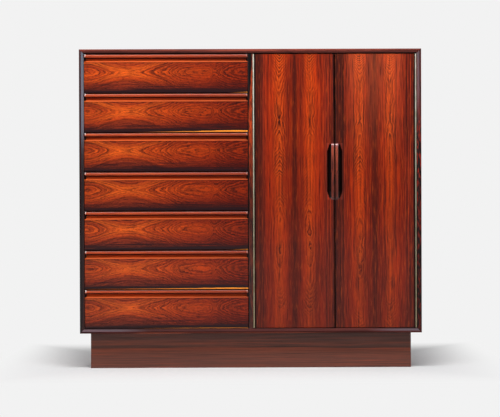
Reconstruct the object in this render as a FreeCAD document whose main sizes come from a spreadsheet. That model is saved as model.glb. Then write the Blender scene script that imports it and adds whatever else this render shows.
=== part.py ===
import FreeCAD, Part
import os
import re
import Sketcher
from FreeCAD import Placement, Rotation, Vector

# A veneered chest on a recessed plinth: seven drawers in the left bay and, in the right bay,
# a cupboard behind two doors on full-height piano hinges. X runs to the right, Y to the back
# and Z up. The origin is under the middle of the chest, on the floor.

# Driving dimensions in millimetres.
SIZES = {
    # case
    "case_width": 1245,
    "case_height": 1034,
    "case_depth": 460,
    "panel_thickness": 16,
    "divider_thickness": 16,
    "divider_housing": 5,
    "front_setback": 8,
    "bevel_width": 9,
    "outer_round": 1.5,
    "back_thickness": 6,
    "back_inset": 10,
    "back_lap": 8,
    # plinth
    "plinth_height": 132,
    "plinth_thickness": 20,
    "plinth_side_inset": 34,
    "plinth_front_inset": 45,
    "plinth_back_inset": 25,
    "glue_block": 32,
    "glue_block_drop": 12,
    # drawer fronts and their pulls
    "drawer_gap": 3,
    "front_end_gap": 1.5,
    "front_thickness": 20,
    "front_arris": 1,
    "lip_height": 11.5,
    "lip_proud": 4,
    "lip_flat": 0.7,
    "lip_end_round": 8,
    "lip_undercut": 2,
    "cove_radius": 15,
    "cove_land": 2.5,
    "cove_end_relief": 4.5,
    # drawer boxes and runners
    "box_lift": 6,
    "box_headroom": 5,
    "box_side_clearance": 8,
    "box_side_thickness": 12,
    "box_rear_gap": 11,
    "box_back_thickness": 10,
    "box_back_setin": 12,
    "box_back_housing": 4,
    "tongue_length": 9,
    "tongue_neck": 7,
    "tongue_end": 10,
    "bottom_thickness": 5,
    "bottom_lift": 8,
    "bottom_groove": 5,
    "bottom_play": 0.5,
    "runner_height": 12,
    "runner_engagement": 5,
    "runner_start": 26,
    "running_gap": 0.3,
    "groove_floor_gap": 0.5,
    # doors and their pulls
    "door_thickness": 20,
    "door_end_gap": 2,
    "door_meeting_gap": 3,
    "door_hinge_chamfer": 2,
    "door_pull_length": 206,
    "door_pull_centre": 570,
    "door_cove_margin": 3,
    "door_cove_tip": 9,
    "door_cove_taper": 18,
    "door_lip_proud": 6,
    "door_lip_round": 4.5,
    "door_lip_run": 14,
    # piano hinges
    "hinge_gap": 8,
    "hinge_leaf_thickness": 1,
    "hinge_leaf_width": 18,
    "barrel_clearance": 0.3,
    "barrel_relief": 0.4,
    "hinge_pin_radius": 1.5,
    "hinge_pin_fit": 0.05,
    "knuckle_gap": 0.3,
    # cupboard
    "shelf_thickness": 16,
    "shelf_end_gap": 1,
    "shelf_front_gap": 12,
    "shelf_rear_gap": 2,
    "shelf_pin_radius": 2.5,
    "shelf_pin_reach": 10,
    "shelf_pin_fit": 0.05,
    "shelf_pin_inset": 50,
    "pin_hole_depth": 9,
    "shelf_spacing": 336,
    # door catches
    "catch_length": 42,
    "catch_height": 13,
    "catch_depth": 12,
    "catch_flange": 9,
    "catch_flange_thickness": 2.5,
    "catch_offset": 46,
    "catch_door_gap": 0.3,
}

DRAWER_COUNT = 7
CASE_KNUCKLES = 4

# Sizes that follow from the driving ones.
DERIVED = {
    "front_face": "-case_depth / 2 + front_setback",
    "back_face": "case_depth / 2 - back_inset - back_thickness",
    "case_top_height": "plinth_height + case_height",
    "opening_base": "plinth_height + panel_thickness",
    "opening_height": "case_height - 2 * panel_thickness",
    "bay_width": "(case_width - 2 * panel_thickness - divider_thickness) / 2",
    "bay_centre": "(bay_width + divider_thickness) / 2",
    "plinth_width": "case_width - 2 * plinth_side_inset",
    "plinth_depth": "case_depth - plinth_front_inset - plinth_back_inset",
    "plinth_front": "-case_depth / 2 + plinth_front_inset",
    "drawer_pitch": f"opening_height / {DRAWER_COUNT}",
    "front_width": "bay_width - 2 * front_end_gap",
    "pull_height": "lip_height + cove_radius + cove_land",
    "board_height": "drawer_pitch - drawer_gap - pull_height",
    "lip_round": "(lip_height - lip_flat) / 2",
    "box_height": "board_height - box_lift - box_headroom",
    "box_width": "bay_width - 2 * box_side_clearance",
    "box_length": "back_face - front_face - front_thickness - box_rear_gap",
    "box_back_start": "box_length - box_back_setin - box_back_thickness",
    "bottom_top": "bottom_lift + bottom_thickness",
    "runner_groove_height": "runner_height + 2 * running_gap",
    "runner_groove_base": "(box_height - runner_groove_height) / 2",
    "runner_length": "box_length - runner_start",
    "door_height": "opening_height - 2 * door_end_gap",
    "door_width": "(bay_width - door_meeting_gap) / 2 - hinge_gap",
    "door_far_edge": "hinge_gap / 2 + door_width",
    "door_base": "opening_base + door_end_gap",
    "door_pull_base": "door_pull_centre - door_pull_length / 2",
    "door_cove_tip_width": "door_cove_tip * cos(door_cove_taper)",
    "door_cove_tip_drop": "door_cove_tip * (1 - sin(door_cove_taper))",
    "door_cove_run": "door_cove_tip_drop + (cove_radius - door_cove_tip_width) / tan(door_cove_taper)",
    "door_lip_arch": "(door_lip_proud^2 + door_lip_run^2) / (2 * door_lip_proud)",
    "hinge_axis": "divider_thickness / 2 + hinge_gap / 2",
    "barrel_radius": "hinge_gap / 2 - barrel_clearance",
    "knuckle_pitch": f"door_height / {2 * CASE_KNUCKLES - 1}",
    "shelf_front": "front_face + door_thickness + shelf_front_gap",
    "shelf_depth": "back_face - shelf_rear_gap - shelf_front",
    "opening_middle": "opening_base + opening_height / 2",
}

doc = FreeCAD.newDocument("BachelorChest")
sheet = doc.addObject("Spreadsheet::Sheet", "Sizes")
for row, (alias, size) in enumerate(SIZES.items(), start=1):
    sheet.set(f"A{row}", alias)
    sheet.set(f"B{row}", str(size))
    sheet.setAlias(f"B{row}", alias)
doc.recompute()

subparts = []


def formula(text):
    """Writes a formula out in the sheet's own cells."""

    def written_out(match):
        word = match.group()
        if word in SIZES:
            return f"Sizes.{word}"
        if word in DERIVED:
            return f"({formula(DERIVED[word])})"
        return word

    return re.sub(r"[a-z_]\w*", written_out, text)


def value(text):
    return float(sheet.evalExpression(formula(text)))


def bind(item, **formulas):
    for name, text in formulas.items():
        item.setExpression(name, formula(text))


def place(item, x="0", y="0", z="0", turn=Rotation()):
    item.Placement = Placement(Vector(), turn)
    for axis, text in zip("xyz", (x, y, z)):
        item.setExpression(f"Placement.Base.{axis}", formula(text))


def subpart(item, label):
    item.Label = label
    subparts.append(item)
    return item


def new_body(name):
    return doc.addObject("PartDesign::Body", name)


def origin_feature(body, role):
    return next(item for item in body.Origin.OriginFeatures if item.Role == role)


def new_sketch(body, plane, lift="0"):
    """An empty sketch on one of the body's own planes, lifted along the plane's normal."""
    sketch = body.newObject("Sketcher::SketchObject", "Sketch")
    sketch.AttachmentSupport = [(origin_feature(body, plane), "")]
    sketch.MapMode = "FlatFace"
    sketch.setExpression("AttachmentOffset.Base.z", formula(lift))
    return sketch


def fix_point(sketch, edge, end, x, y):
    """Ties one point of an edge to its two formulas."""
    for kind, text in (("DistanceX", x), ("DistanceY", y)):
        tie = sketch.addConstraint(Sketcher.Constraint(kind, -1, 1, edge, end, value(text)))
        sketch.setExpression(f"Constraints[{tie}]", formula(text))


def arc_between(start, finish, radius, turn):
    """A short arc that bends to the left (turn 1) or to the right (turn -1)."""
    half = (finish - start) / 2
    rise = (radius**2 - half.Length**2) ** 0.5
    side = Vector(-half.y, half.x, 0).normalize() * turn
    middle = start + half + side * (rise - radius)
    return Part.Arc(start, middle, finish)


def draw_outline(sketch, corners):
    """Adds a closed outline. A corner is (x, y), or (x, y, radius, turn) before an arc."""
    first = sketch.GeometryCount
    points = [Vector(value(corner[0]), value(corner[1]), 0) for corner in corners]
    ends = []
    for index, corner in enumerate(corners):
        start = points[index]
        finish = points[(index + 1) % len(points)]
        if len(corner) == 2:
            sketch.addGeometry(Part.LineSegment(start, finish), False)
            ends.append((1, 2))
        else:
            sketch.addGeometry(arc_between(start, finish, value(corner[2]), corner[3]), False)
            ends.append((1, 2) if corner[3] > 0 else (2, 1))
    for index, corner in enumerate(corners):
        edge = first + index
        follower = (index + 1) % len(corners)
        meeting = (edge, ends[index][1], first + follower, ends[follower][0])
        sketch.addConstraint(Sketcher.Constraint("Coincident", *meeting))
        fix_point(sketch, edge, ends[index][0], corner[0], corner[1])
        if len(corner) == 4:
            tie = sketch.addConstraint(Sketcher.Constraint("Radius", edge, value(corner[2])))
            sketch.setExpression(f"Constraints[{tie}]", formula(corner[2]))


def draw_circle(sketch, x, y, radius):
    centre = Vector(value(x), value(y), 0)
    circle = Part.Circle(centre, Vector(0, 0, 1), value(radius))
    edge = sketch.addGeometry(circle, False)
    fix_point(sketch, edge, 3, x, y)
    tie = sketch.addConstraint(Sketcher.Constraint("Radius", edge, value(radius)))
    sketch.setExpression(f"Constraints[{tie}]", formula(radius))


def rectangle(left, low, right, high):
    return [(left, low), (right, low), (right, high), (left, high)]


def pad(body, sketch, length, side="One side", reverse=False):
    feature = body.newObject("PartDesign::Pad", "Pad")
    feature.Profile = sketch
    feature.SideType = side
    feature.Reversed = reverse
    bind(feature, Length=length)
    doc.recompute()
    return feature


def finish_cut(body, before):
    """Computes the body's last cut and stops if it took nothing away."""
    doc.recompute()
    if body.Shape.Volume >= before:
        raise RuntimeError(f"{body.Label}: a cut takes nothing away")


def pocket(body, sketch, length, side="One side", reverse=False):
    before = body.Shape.Volume
    feature = body.newObject("PartDesign::Pocket", "Pocket")
    feature.Profile = sketch
    feature.SideType = side
    feature.Reversed = reverse
    bind(feature, Length=length)
    finish_cut(body, before)
    return feature


def repeat(body, originals, axis, count, length):
    """Repeats features evenly along one of the body's axes, over the given length."""
    pattern = body.newObject("PartDesign::LinearPattern", "LinearPattern")
    pattern.Originals = originals
    pattern.Direction = (origin_feature(body, axis), [""])
    pattern.Occurrences = count
    bind(pattern, Length=length)
    body.Tip = pattern
    doc.recompute()


def edges_where(feature, **formulas):
    """Names the edges whose ends all lie at the given coordinates."""
    places = {axis: value(text) for axis, text in formulas.items()}

    def lies_there(edge):
        points = [vertex.Point for vertex in edge.Vertexes]
        return all(abs(getattr(p, axis) - at) < 1e-4 for p in points for axis, at in places.items())

    shape = feature.Shape
    return [f"Edge{number}" for number, edge in enumerate(shape.Edges, 1) if lies_there(edge)]


def dress(body, kind, edges, size):
    """Rounds ("Fillet") or bevels ("Chamfer") named edges of the body's last feature."""
    base = body.Tip
    feature = body.newObject(f"PartDesign::{kind}", kind)
    feature.Base = (base, edges)
    bind(feature, **{"Radius" if kind == "Fillet" else "Size": size})
    doc.recompute()
    return feature


def box(name, x, y, z):
    """A plain board between two formulas on each axis."""
    board = doc.addObject("Part::Box", name)
    bind(
        board,
        Length=f"({x[1]}) - ({x[0]})",
        Width=f"({y[1]}) - ({y[0]})",
        Height=f"({z[1]}) - ({z[0]})",
    )
    place(board, x[0], y[0], z[0])
    return board


def group(label, members):
    whole = doc.addObject("Part::Compound", label)
    whole.Links = members
    return subpart(whole, label)


def mirror(source, name, x):
    """The same piece, seen in an upright mirror that faces along X."""
    image = doc.addObject("Part::Mirroring", name)
    image.Source = source
    image.Normal = Vector(1, 0, 0)
    image.setExpression("Base.x", formula(x))
    return image


def add_pin_holes(body, plane, lift, holes, axis, reverse):
    """The holes for the lower shelf's pins in one wall of the cupboard, repeated for the upper one."""
    sketch = new_sketch(body, plane, lift)
    for hole in holes:
        draw_circle(sketch, *hole, "shelf_pin_radius + shelf_pin_fit")
    drilled = pocket(body, sketch, "pin_hole_depth", reverse=reverse)
    repeat(body, [drilled], axis, 2, "shelf_spacing")


PIN_COLUMNS = (
    "(shelf_front + shelf_pin_inset)",
    "(shelf_front + shelf_depth - shelf_pin_inset)",
)


def case_panel(label, length, housed=False, drilled=False, **at):
    """One side of the case, lying flat with its outer face up and its mitred ends along X."""
    body = new_body(label)
    profile = new_sketch(body, "YZ_Plane")
    rebate = "case_depth / 2 - back_inset - back_thickness"
    corners = [
        ("-case_depth / 2", "0"),
        ("-case_depth / 2", "bevel_width - panel_thickness"),
        ("front_face", "-panel_thickness"),
        (rebate, "-panel_thickness"),
        (rebate, "back_lap - panel_thickness"),
        ("case_depth / 2", "back_lap - panel_thickness"),
        ("case_depth / 2", "0"),
    ]
    draw_outline(profile, corners)
    blank = pad(body, profile, length, side="Symmetric")
    dress(body, "Fillet", edges_where(blank, y="-case_depth / 2", z="0"), "outer_round")
    mitres = new_sketch(body, "XZ_Plane")
    for sign in ("", "-"):
        far = f"{sign}({length}) / 2"
        near = f"{sign}(({length}) / 2 - panel_thickness)"
        draw_outline(mitres, [(far, "0"), (far, "-panel_thickness"), (near, "-panel_thickness")])
    pocket(body, mitres, "case_depth", side="Symmetric")
    if housed:
        housing = new_sketch(body, "XY_Plane", lift="-panel_thickness")
        half = "divider_thickness / 2"
        draw_outline(housing, rectangle(f"-{half}", "front_face", half, "back_face"))
        pocket(body, housing, "divider_housing", reverse=True)
    if drilled:
        holes = [("-shelf_spacing / 2", y) for y in PIN_COLUMNS]
        add_pin_holes(body, "XY_Plane", "-panel_thickness", holes, "X_Axis", reverse=True)
    place(body, **at)
    subpart(body, label)


def case():
    """Four panels mitred together, each turned about the depth of the case to its place."""
    over, left, right = (Rotation(Vector(0, 1, 0), angle) for angle in (180, -90, 90))
    wall = "case_width / 2"
    middle = "plinth_height + case_height / 2"
    case_panel("case_top", "case_width", housed=True, z="case_top_height")
    case_panel("case_bottom", "case_width", housed=True, z="plinth_height", turn=over)
    case_panel("case_left_side", "case_height", x=f"-{wall}", z=middle, turn=left)
    case_panel("case_right_side", "case_height", drilled=True, x=wall, z=middle, turn=right)


def centre_divider():
    """The upright between the bays, let into the top and bottom and drilled on its right face."""
    body = new_body("centre_divider")
    plan = new_sketch(body, "XY_Plane")
    half = "divider_thickness / 2"
    draw_outline(plan, rectangle(f"-{half}", "front_face", half, "back_face"))
    board = pad(body, plan, "opening_height + 2 * divider_housing", side="Symmetric")
    front_edges = edges_where(board, x=f"-{half}", y="front_face")
    front_edges += edges_where(board, x=half, y="front_face")
    dress(body, "Fillet", front_edges, "outer_round")
    holes = [(y, "-shelf_spacing / 2") for y in PIN_COLUMNS]
    add_pin_holes(body, "YZ_Plane", half, holes, "Z_Axis", reverse=False)
    place(body, z="opening_middle")
    subpart(body, "centre_divider")


def back_panel():
    half = "(case_width / 2 - panel_thickness + back_lap)"
    board = box(
        "back_panel",
        (f"-{half}", half),
        ("back_face", "back_face + back_thickness"),
        ("opening_base - back_lap", "opening_base + opening_height + back_lap"),
    )
    subpart(board, "back_panel")


def plinth_board(label, length, **at):
    """One board of the plinth, mitred at both ends, with its outer face on y = 0."""
    body = new_body(label)
    plan = new_sketch(body, "XY_Plane")
    far = f"({length}) / 2"
    near = f"(({length}) / 2 - plinth_thickness)"
    corners = [
        (f"-{far}", "0"),
        (far, "0"),
        (near, "plinth_thickness"),
        (f"-{near}", "plinth_thickness"),
    ]
    draw_outline(plan, corners)
    pad(body, plan, "plinth_height")
    place(body, **at)
    subpart(body, label)


def plinth():
    """Four boards mitred together, with a glue block behind each corner."""
    about, left, right = (Rotation(Vector(0, 0, 1), angle) for angle in (180, -90, 90))
    wall = "plinth_width / 2"
    middle = "plinth_front + plinth_depth / 2"
    plinth_board("plinth_front", "plinth_width", y="plinth_front")
    plinth_board("plinth_back", "plinth_width", y="plinth_front + plinth_depth", turn=about)
    plinth_board("plinth_left", "plinth_depth", x=f"-{wall}", y=middle, turn=left)
    plinth_board("plinth_right", "plinth_depth", x=wall, y=middle, turn=right)
    blocks = []
    inner = "(plinth_width / 2 - plinth_thickness)"
    front = "(plinth_front + plinth_thickness)"
    rear = "(plinth_front + plinth_depth - plinth_thickness)"
    for x in ((f"-{inner}", f"-{inner} + glue_block"), (f"{inner} - glue_block", inner)):
        for y in ((front, f"{front} + glue_block"), (f"{rear} - glue_block", rear)):
            blocks.append(box("glue_block", x, y, ("glue_block_drop", "plinth_height")))
    group("plinth_corner_blocks", blocks)


def drawer_pull(label, **at):
    """The full-width pull: a rounded lip over a cove, worked on one strip of solid wood."""
    body = new_body(label)
    profile = new_sketch(body, "YZ_Plane")
    under = "(cove_land + cove_radius)"
    corners = [
        ("0", "0"),
        ("0", "cove_land", "cove_radius", 1),
        ("sqrt(cove_radius^2 - lip_undercut^2)", f"{under} + lip_undercut"),
        ("-lip_proud", under),
        ("-lip_proud", "pull_height"),
        ("front_thickness", "pull_height"),
        ("front_thickness", "0"),
    ]
    draw_outline(profile, corners)
    strip = pad(body, profile, "front_width", side="Symmetric")
    nose = edges_where(strip, y="-lip_proud", z=under)
    nose += edges_where(strip, y="-lip_proud", z="pull_height")
    dress(body, "Fillet", nose, "lip_round")
    tips = new_sketch(body, "XY_Plane", lift=under)
    relief = new_sketch(body, "XY_Plane", lift="cove_land")
    for sign, bend in (("", -1), ("-", 1)):
        far = f"{sign}front_width / 2"
        near = f"{sign}(front_width / 2 - cove_end_relief)"
        bent = f"{sign}(front_width / 2 - lip_end_round)"
        corners = [
            (bent, "-lip_proud"),
            (far, "-lip_proud"),
            (far, "lip_end_round - lip_proud", "lip_end_round", bend),
        ]
        draw_outline(tips, corners)
        draw_outline(relief, rectangle(near, "0", far, "cove_radius"))
    pocket(body, tips, "lip_height", reverse=True)
    pocket(body, relief, "cove_radius", reverse=True)
    place(body, **at)
    subpart(body, label)


def drawer_front(label, **at):
    """The veneered board below the pull, slotted behind for the sides and the bottom."""
    body = new_body(label)
    face = new_sketch(body, "XZ_Plane")
    half = "front_width / 2"
    draw_outline(face, rectangle(f"-{half}", "0", half, "board_height"))
    board = pad(body, face, "front_thickness", reverse=True)
    arrises = edges_where(board, y="0", z="0")
    arrises += edges_where(board, x=half, y="0") + edges_where(board, x=f"-{half}", y="0")
    dress(body, "Chamfer", arrises, "front_arris")
    slots = new_sketch(body, "XY_Plane")
    middle = "(box_width - box_side_thickness) / 2"
    floor = "front_thickness - tongue_length"
    for sign in ("", "-"):
        corners = [
            (f"{sign}({middle} - tongue_neck / 2)", "front_thickness"),
            (f"{sign}({middle} - tongue_end / 2)", floor),
            (f"{sign}({middle} + tongue_end / 2)", floor),
            (f"{sign}({middle} + tongue_neck / 2)", "front_thickness"),
        ]
        draw_outline(slots, corners)
    pocket(body, slots, "box_lift + box_height", reverse=True)
    groove = new_sketch(body, "XZ_Plane", lift="-front_thickness")
    reach = "box_width / 2 - box_side_thickness + bottom_groove"
    low = "box_lift + bottom_lift"
    draw_outline(groove, rectangle(f"-({reach})", low, reach, f"{low} + bottom_thickness"))
    pocket(body, groove, "bottom_groove", reverse=True)
    place(body, **at)
    subpart(body, label)


def drawer_sides(label, centre, y, z):
    """Two boards with a dovetail tongue in front, a runner groove outside and a housed back."""
    body = new_body(f"{label}_left")
    plan = new_sketch(body, "XY_Plane")
    thick = "box_side_thickness"
    dado = "box_side_thickness - box_back_housing"
    corners = [
        ("0", "0"),
        (f"({thick} - tongue_neck) / 2", "0"),
        (f"({thick} - tongue_end) / 2", "-tongue_length"),
        (f"({thick} + tongue_end) / 2", "-tongue_length"),
        (f"({thick} + tongue_neck) / 2", "0"),
        (thick, "0"),
        (thick, "box_back_start"),
        (dado, "box_back_start"),
        (dado, "box_back_start + box_back_thickness"),
        (thick, "box_back_start + box_back_thickness"),
        (thick, "box_length"),
        ("0", "box_length"),
    ]
    draw_outline(plan, corners)
    pad(body, plan, "box_height")
    runner_groove = new_sketch(body, "YZ_Plane")
    start = "runner_start - running_gap"
    top = "runner_groove_base + runner_groove_height"
    draw_outline(runner_groove, rectangle(start, "runner_groove_base", "box_length", top))
    pocket(body, runner_groove, "runner_engagement + groove_floor_gap", reverse=True)
    bottom_groove = new_sketch(body, "YZ_Plane", lift=thick)
    draw_outline(bottom_groove, rectangle("-tongue_length", "bottom_lift", "box_length", "bottom_top"))
    pocket(body, bottom_groove, "bottom_groove")
    place(body, f"{centre} - box_width / 2", f"{y} + front_thickness", f"{z} + box_lift")
    group(label, [body, mirror(body, f"{label}_right", centre)])


def drawer_back(label, centre, y, z):
    half = "(box_width / 2 - box_side_thickness + box_back_housing)"
    start = f"{y} + front_thickness + box_back_start"
    board = box(
        label,
        (f"{centre} - {half}", f"{centre} + {half}"),
        (start, f"{start} + box_back_thickness"),
        (f"{z} + box_lift + bottom_top", f"{z} + box_lift + box_height"),
    )
    subpart(board, label)


def drawer_bottom(label, centre, y, z):
    half = "(box_width / 2 - box_side_thickness + bottom_groove - bottom_play)"
    front = f"{y} + front_thickness - bottom_groove + bottom_play"
    rear = f"{y} + front_thickness + box_back_start + box_back_thickness"
    board = box(
        label,
        (f"{centre} - {half}", f"{centre} + {half}"),
        (front, rear),
        (f"{z} + box_lift + bottom_lift", f"{z} + box_lift + bottom_top"),
    )
    subpart(board, label)


def drawers():
    """The drawers, numbered from the top, with a pair of runners for each."""
    runners = []
    centre = "-bay_centre"
    left_wall = "-(case_width / 2 - panel_thickness)"
    right_wall = "-divider_thickness / 2"
    reach = "(box_side_clearance + runner_engagement)"
    start = "front_face + front_thickness + runner_start"
    for number in range(1, DRAWER_COUNT + 1):
        name = f"drawer_{number}"
        base = f"opening_base + drawer_gap / 2 + {DRAWER_COUNT - number} * drawer_pitch"
        drawer_front(f"{name}_front", x=centre, y="front_face", z=base)
        drawer_pull(f"{name}_pull", x=centre, y="front_face", z=f"{base} + board_height")
        drawer_sides(f"{name}_sides", centre, "front_face", base)
        drawer_back(f"{name}_back", centre, "front_face", base)
        drawer_bottom(f"{name}_bottom", centre, "front_face", base)
        low = f"{base} + box_lift + runner_groove_base + running_gap"
        for x in ((left_wall, f"{left_wall} + {reach}"), (f"{right_wall} - {reach}", right_wall)):
            y = (start, f"{start} + runner_length")
            runners.append(box("runner", x, y, (low, f"{low} + runner_height")))
    group("drawer_runners", runners)


def left_door():
    """The door as it hangs on the divider, with a notch for its pull in the free edge."""
    body = new_body("left_door")
    face = new_sketch(body, "XZ_Plane")
    near = "hinge_gap / 2"
    far = "door_far_edge"
    notch = "door_far_edge - pull_height"
    top = "door_pull_base + door_pull_length"
    corners = [
        (near, "0"),
        (far, "0"),
        (far, "door_pull_base"),
        (notch, "door_pull_base"),
        (notch, top),
        (far, top),
        (far, "door_height"),
        (near, "door_height"),
    ]
    draw_outline(face, corners)
    board = pad(body, face, "door_thickness", reverse=True)
    bevelled = dress(body, "Chamfer", edges_where(board, x=near, y="0"), "door_hinge_chamfer")
    arrises = edges_where(bevelled, y="0", z="0") + edges_where(bevelled, y="0", z="door_height")
    arrises += edges_where(bevelled, x=far, y="0")
    dress(body, "Chamfer", arrises, "front_arris")
    place(body, "hinge_axis", "front_face", "door_base")
    return subpart(body, "left_door")


def left_door_pull():
    """A block let into the door: a rounded lip that slopes off at its ends, beside a tapering cove."""
    body = new_body("left_door_pull")
    plan = new_sketch(body, "XY_Plane")
    land = "-(cove_radius + cove_land)"
    corners = [
        (land, "0"),
        ("0", "0"),
        ("0", "-door_lip_proud"),
        ("lip_height", "-door_lip_proud"),
        ("lip_height", "door_thickness"),
        (land, "door_thickness"),
    ]
    draw_outline(plan, corners)
    block = pad(body, plan, "door_pull_length")
    nose = edges_where(block, x="0", y="-door_lip_proud")
    nose += edges_where(block, x="lip_height", y="-door_lip_proud")
    dress(body, "Fillet", nose, "door_lip_round")
    tips = new_sketch(body, "YZ_Plane")
    for end, inward, bend in (("0", "+", 1), ("door_pull_length", "-", -1)):
        bent = f"{end} {inward} door_lip_run"
        corners = [
            ("-door_lip_proud", bent, "door_lip_arch", bend),
            ("0", end),
            ("-door_lip_proud", end),
        ]
        draw_outline(tips, corners)
    pocket(body, tips, "lip_height", reverse=True)
    hollow = new_sketch(body, "XZ_Plane")
    top = "door_pull_length - door_cove_margin"
    corners = [
        ("0", "door_cove_margin"),
        ("0", top, "door_cove_tip", 1),
        ("-door_cove_tip_width", f"{top} - door_cove_tip_drop"),
        ("-cove_radius", f"{top} - door_cove_run"),
        ("-cove_radius", "door_cove_margin + door_cove_run"),
        ("-door_cove_tip_width", "door_cove_margin + door_cove_tip_drop", "door_cove_tip", 1),
    ]
    draw_outline(hollow, corners)
    before = body.Shape.Volume
    groove = body.newObject("PartDesign::Groove", "Groove")
    groove.Profile = hollow
    groove.ReferenceAxis = (hollow, ["V_Axis"])
    groove.Reversed = True
    bind(groove, Angle="90 + asin(lip_undercut / cove_radius) / 1deg")
    finish_cut(body, before)
    place(body, "hinge_axis + door_far_edge - lip_height", "front_face", "door_base + door_pull_base")
    return subpart(body, "left_door_pull")


def hinge_leaf(label, sign, first, count):
    """A leaf with its knuckles, on the case's (-) or the door's side of the barrel's axis."""
    body = new_body(label)
    inner = f"{sign}(hinge_gap / 2 - hinge_leaf_thickness)"
    outer = f"{sign}hinge_gap / 2"
    clear = "barrel_radius + barrel_relief"
    plan = new_sketch(body, "XY_Plane")
    draw_outline(plan, rectangle(inner, clear, outer, "hinge_leaf_width"))
    pad(body, plan, "door_height")
    lift = f"{first} * knuckle_pitch + knuckle_gap / 2"
    ring = new_sketch(body, "XY_Plane", lift=lift)
    draw_circle(ring, "0", "0", "barrel_radius")
    draw_circle(ring, "0", "0", "hinge_pin_radius + hinge_pin_fit")
    tube = pad(body, ring, "knuckle_pitch - knuckle_gap")
    strap = new_sketch(body, "XY_Plane", lift=lift)
    draw_outline(strap, rectangle(inner, "0", outer, clear))
    tab = pad(body, strap, "knuckle_pitch - knuckle_gap")
    repeat(body, [tube, tab], "Z_Axis", count, f"2 * knuckle_pitch * ({count} - 1)")
    place(body, "hinge_axis", "front_face", "door_base")
    return subpart(body, label)


def hinge_pin():
    pin = doc.addObject("Part::Cylinder", "hinge_pin")
    bind(pin, Radius="hinge_pin_radius", Height="door_height")
    place(pin, "hinge_axis", "front_face", "door_base")
    return pin


def doors():
    """The left door and its hinge, and their mirror images on the right."""
    pieces = (
        left_door(),
        left_door_pull(),
        hinge_leaf("left_hinge_case_leaf", "-", 0, CASE_KNUCKLES),
        hinge_leaf("left_hinge_door_leaf", "", 1, CASE_KNUCKLES - 1),
    )
    for piece in pieces:
        label = piece.Label.replace("left", "right")
        subpart(mirror(piece, label, "bay_centre"), label)
    pin = hinge_pin()
    group("hinge_pins", [pin, mirror(pin, "right_hinge_pin", "bay_centre")])


def shelves():
    """Loose shelves, each on four pins in the drilled walls of the cupboard."""
    pins = []
    left = "divider_thickness / 2"
    right = "(case_width / 2 - panel_thickness)"
    for label, sign in (("upper_shelf", "+"), ("lower_shelf", "-")):
        axis = f"opening_middle {sign} shelf_spacing / 2"
        seat = f"{axis} + shelf_pin_radius"
        board = box(
            label,
            (f"{left} + shelf_end_gap", f"{right} - shelf_end_gap"),
            ("shelf_front", "shelf_front + shelf_depth"),
            (seat, f"{seat} + shelf_thickness"),
        )
        subpart(board, label)
        for start in (f"{left} - pin_hole_depth", f"{right} - shelf_pin_reach"):
            for column in PIN_COLUMNS:
                pin = doc.addObject("Part::Cylinder", "shelf_pin")
                bind(pin, Radius="shelf_pin_radius", Height="pin_hole_depth + shelf_pin_reach")
                place(pin, start, column, axis, turn=Rotation(Vector(0, 1, 0), 90))
                pins.append(pin)
    group("shelf_pins", pins)


def door_catches():
    """Magnetic catches under the case top, which the closed doors come to rest against."""
    body = new_body("door_catch")
    profile = new_sketch(body, "YZ_Plane")
    rear = "catch_depth + catch_flange"
    corners = [
        ("0", "0"),
        (rear, "0"),
        (rear, "-catch_flange_thickness"),
        ("catch_depth", "-catch_flange_thickness"),
        ("catch_depth", "-catch_height"),
        ("0", "-catch_height"),
    ]
    draw_outline(profile, corners)
    block = pad(body, profile, "catch_length", side="Symmetric")
    dress(body, "Fillet", edges_where(block, y="catch_depth", z="-catch_height"), "front_arris")
    seat = "front_face + door_thickness + catch_door_gap"
    place(body, "bay_centre - catch_offset", seat, "opening_base + opening_height")
    group("door_catches", [body, mirror(body, "right_door_catch", "bay_centre")])


def check_and_write():
    for item in doc.Objects:
        if {"Invalid", "Error"} & set(item.State):
            raise RuntimeError(f"{item.Label} did not compute: {item.State}")
    for piece in subparts:
        if piece.Shape.isNull() or not piece.Shape.isValid():
            raise RuntimeError(f"{piece.Label} has no valid shape")
    os.makedirs("parts", exist_ok=True)
    for piece in subparts:
        piece.Shape.exportStep(f"parts/{piece.Label}.step")
    print(f"{len(subparts)} sub-parts written")


case()
centre_divider()
back_panel()
plinth()
drawers()
doors()
shelves()
door_catches()
doc.recompute()
check_and_write()
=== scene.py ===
import math

import bpy
from mathutils import Matrix, Vector


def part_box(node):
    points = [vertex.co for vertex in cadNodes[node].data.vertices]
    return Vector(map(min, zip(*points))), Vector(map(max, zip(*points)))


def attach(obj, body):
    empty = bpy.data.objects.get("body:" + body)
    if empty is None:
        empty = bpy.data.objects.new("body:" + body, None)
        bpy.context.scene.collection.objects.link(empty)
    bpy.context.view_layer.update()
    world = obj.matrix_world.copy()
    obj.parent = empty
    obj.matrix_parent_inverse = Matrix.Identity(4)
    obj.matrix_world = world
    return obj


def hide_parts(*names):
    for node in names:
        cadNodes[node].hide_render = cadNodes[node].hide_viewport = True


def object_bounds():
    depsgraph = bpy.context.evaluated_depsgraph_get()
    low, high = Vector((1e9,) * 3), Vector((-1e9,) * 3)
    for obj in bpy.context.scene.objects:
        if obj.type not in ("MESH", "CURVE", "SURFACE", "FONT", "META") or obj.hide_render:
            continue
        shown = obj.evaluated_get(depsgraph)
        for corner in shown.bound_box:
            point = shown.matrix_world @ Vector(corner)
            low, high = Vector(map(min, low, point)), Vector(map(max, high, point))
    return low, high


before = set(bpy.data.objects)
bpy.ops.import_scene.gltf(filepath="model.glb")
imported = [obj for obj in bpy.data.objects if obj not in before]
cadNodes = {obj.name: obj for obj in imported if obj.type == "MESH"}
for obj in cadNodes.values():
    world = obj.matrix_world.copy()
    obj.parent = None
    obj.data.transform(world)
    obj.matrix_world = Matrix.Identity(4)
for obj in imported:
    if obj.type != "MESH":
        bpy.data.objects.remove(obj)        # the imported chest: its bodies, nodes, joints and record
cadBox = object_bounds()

drawerCount = 7


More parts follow.
